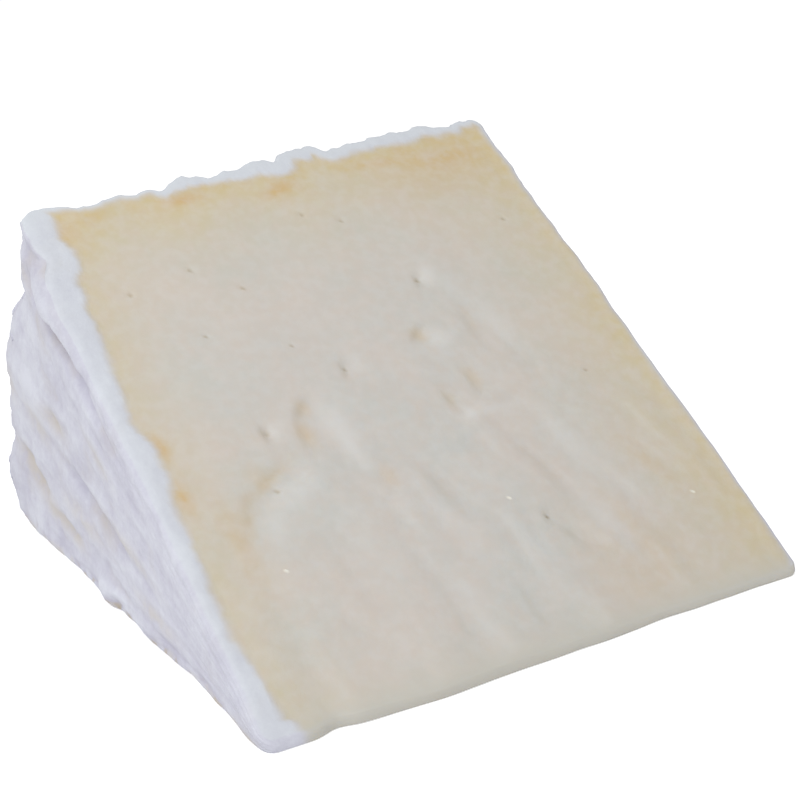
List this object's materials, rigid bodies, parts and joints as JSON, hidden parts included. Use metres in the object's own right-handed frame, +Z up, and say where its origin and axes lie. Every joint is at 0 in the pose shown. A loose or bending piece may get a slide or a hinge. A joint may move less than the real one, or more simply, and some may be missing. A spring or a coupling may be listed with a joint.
{
  "type": "wedge of aged sheep cheese",
  "caption": "Wedge cut from a round wheel of aged sheep cheese with a white mould rind, lying on one cut face with its tip to the front.",
  "frame": {"origin": "middle of the bottom of the wedge's box, on the resting cut face", "axes": "+Z up from the resting cut face, +Y from the tip at the front to the round heel at the back, +X along the tip to the wheel's right flat face"},
  "size_m": [0.0802, 0.1014, 0.0532],
  "materials": {
    "paste": "ivory cheese paste, moist and slightly satin where the knife passed, yellower near the rind",
    "rind": "white mould rind, velvety and matt"
  },
  "bodies": {
    "root": {"cheese_wedge": "paste"}
  },
  "joints": []
}
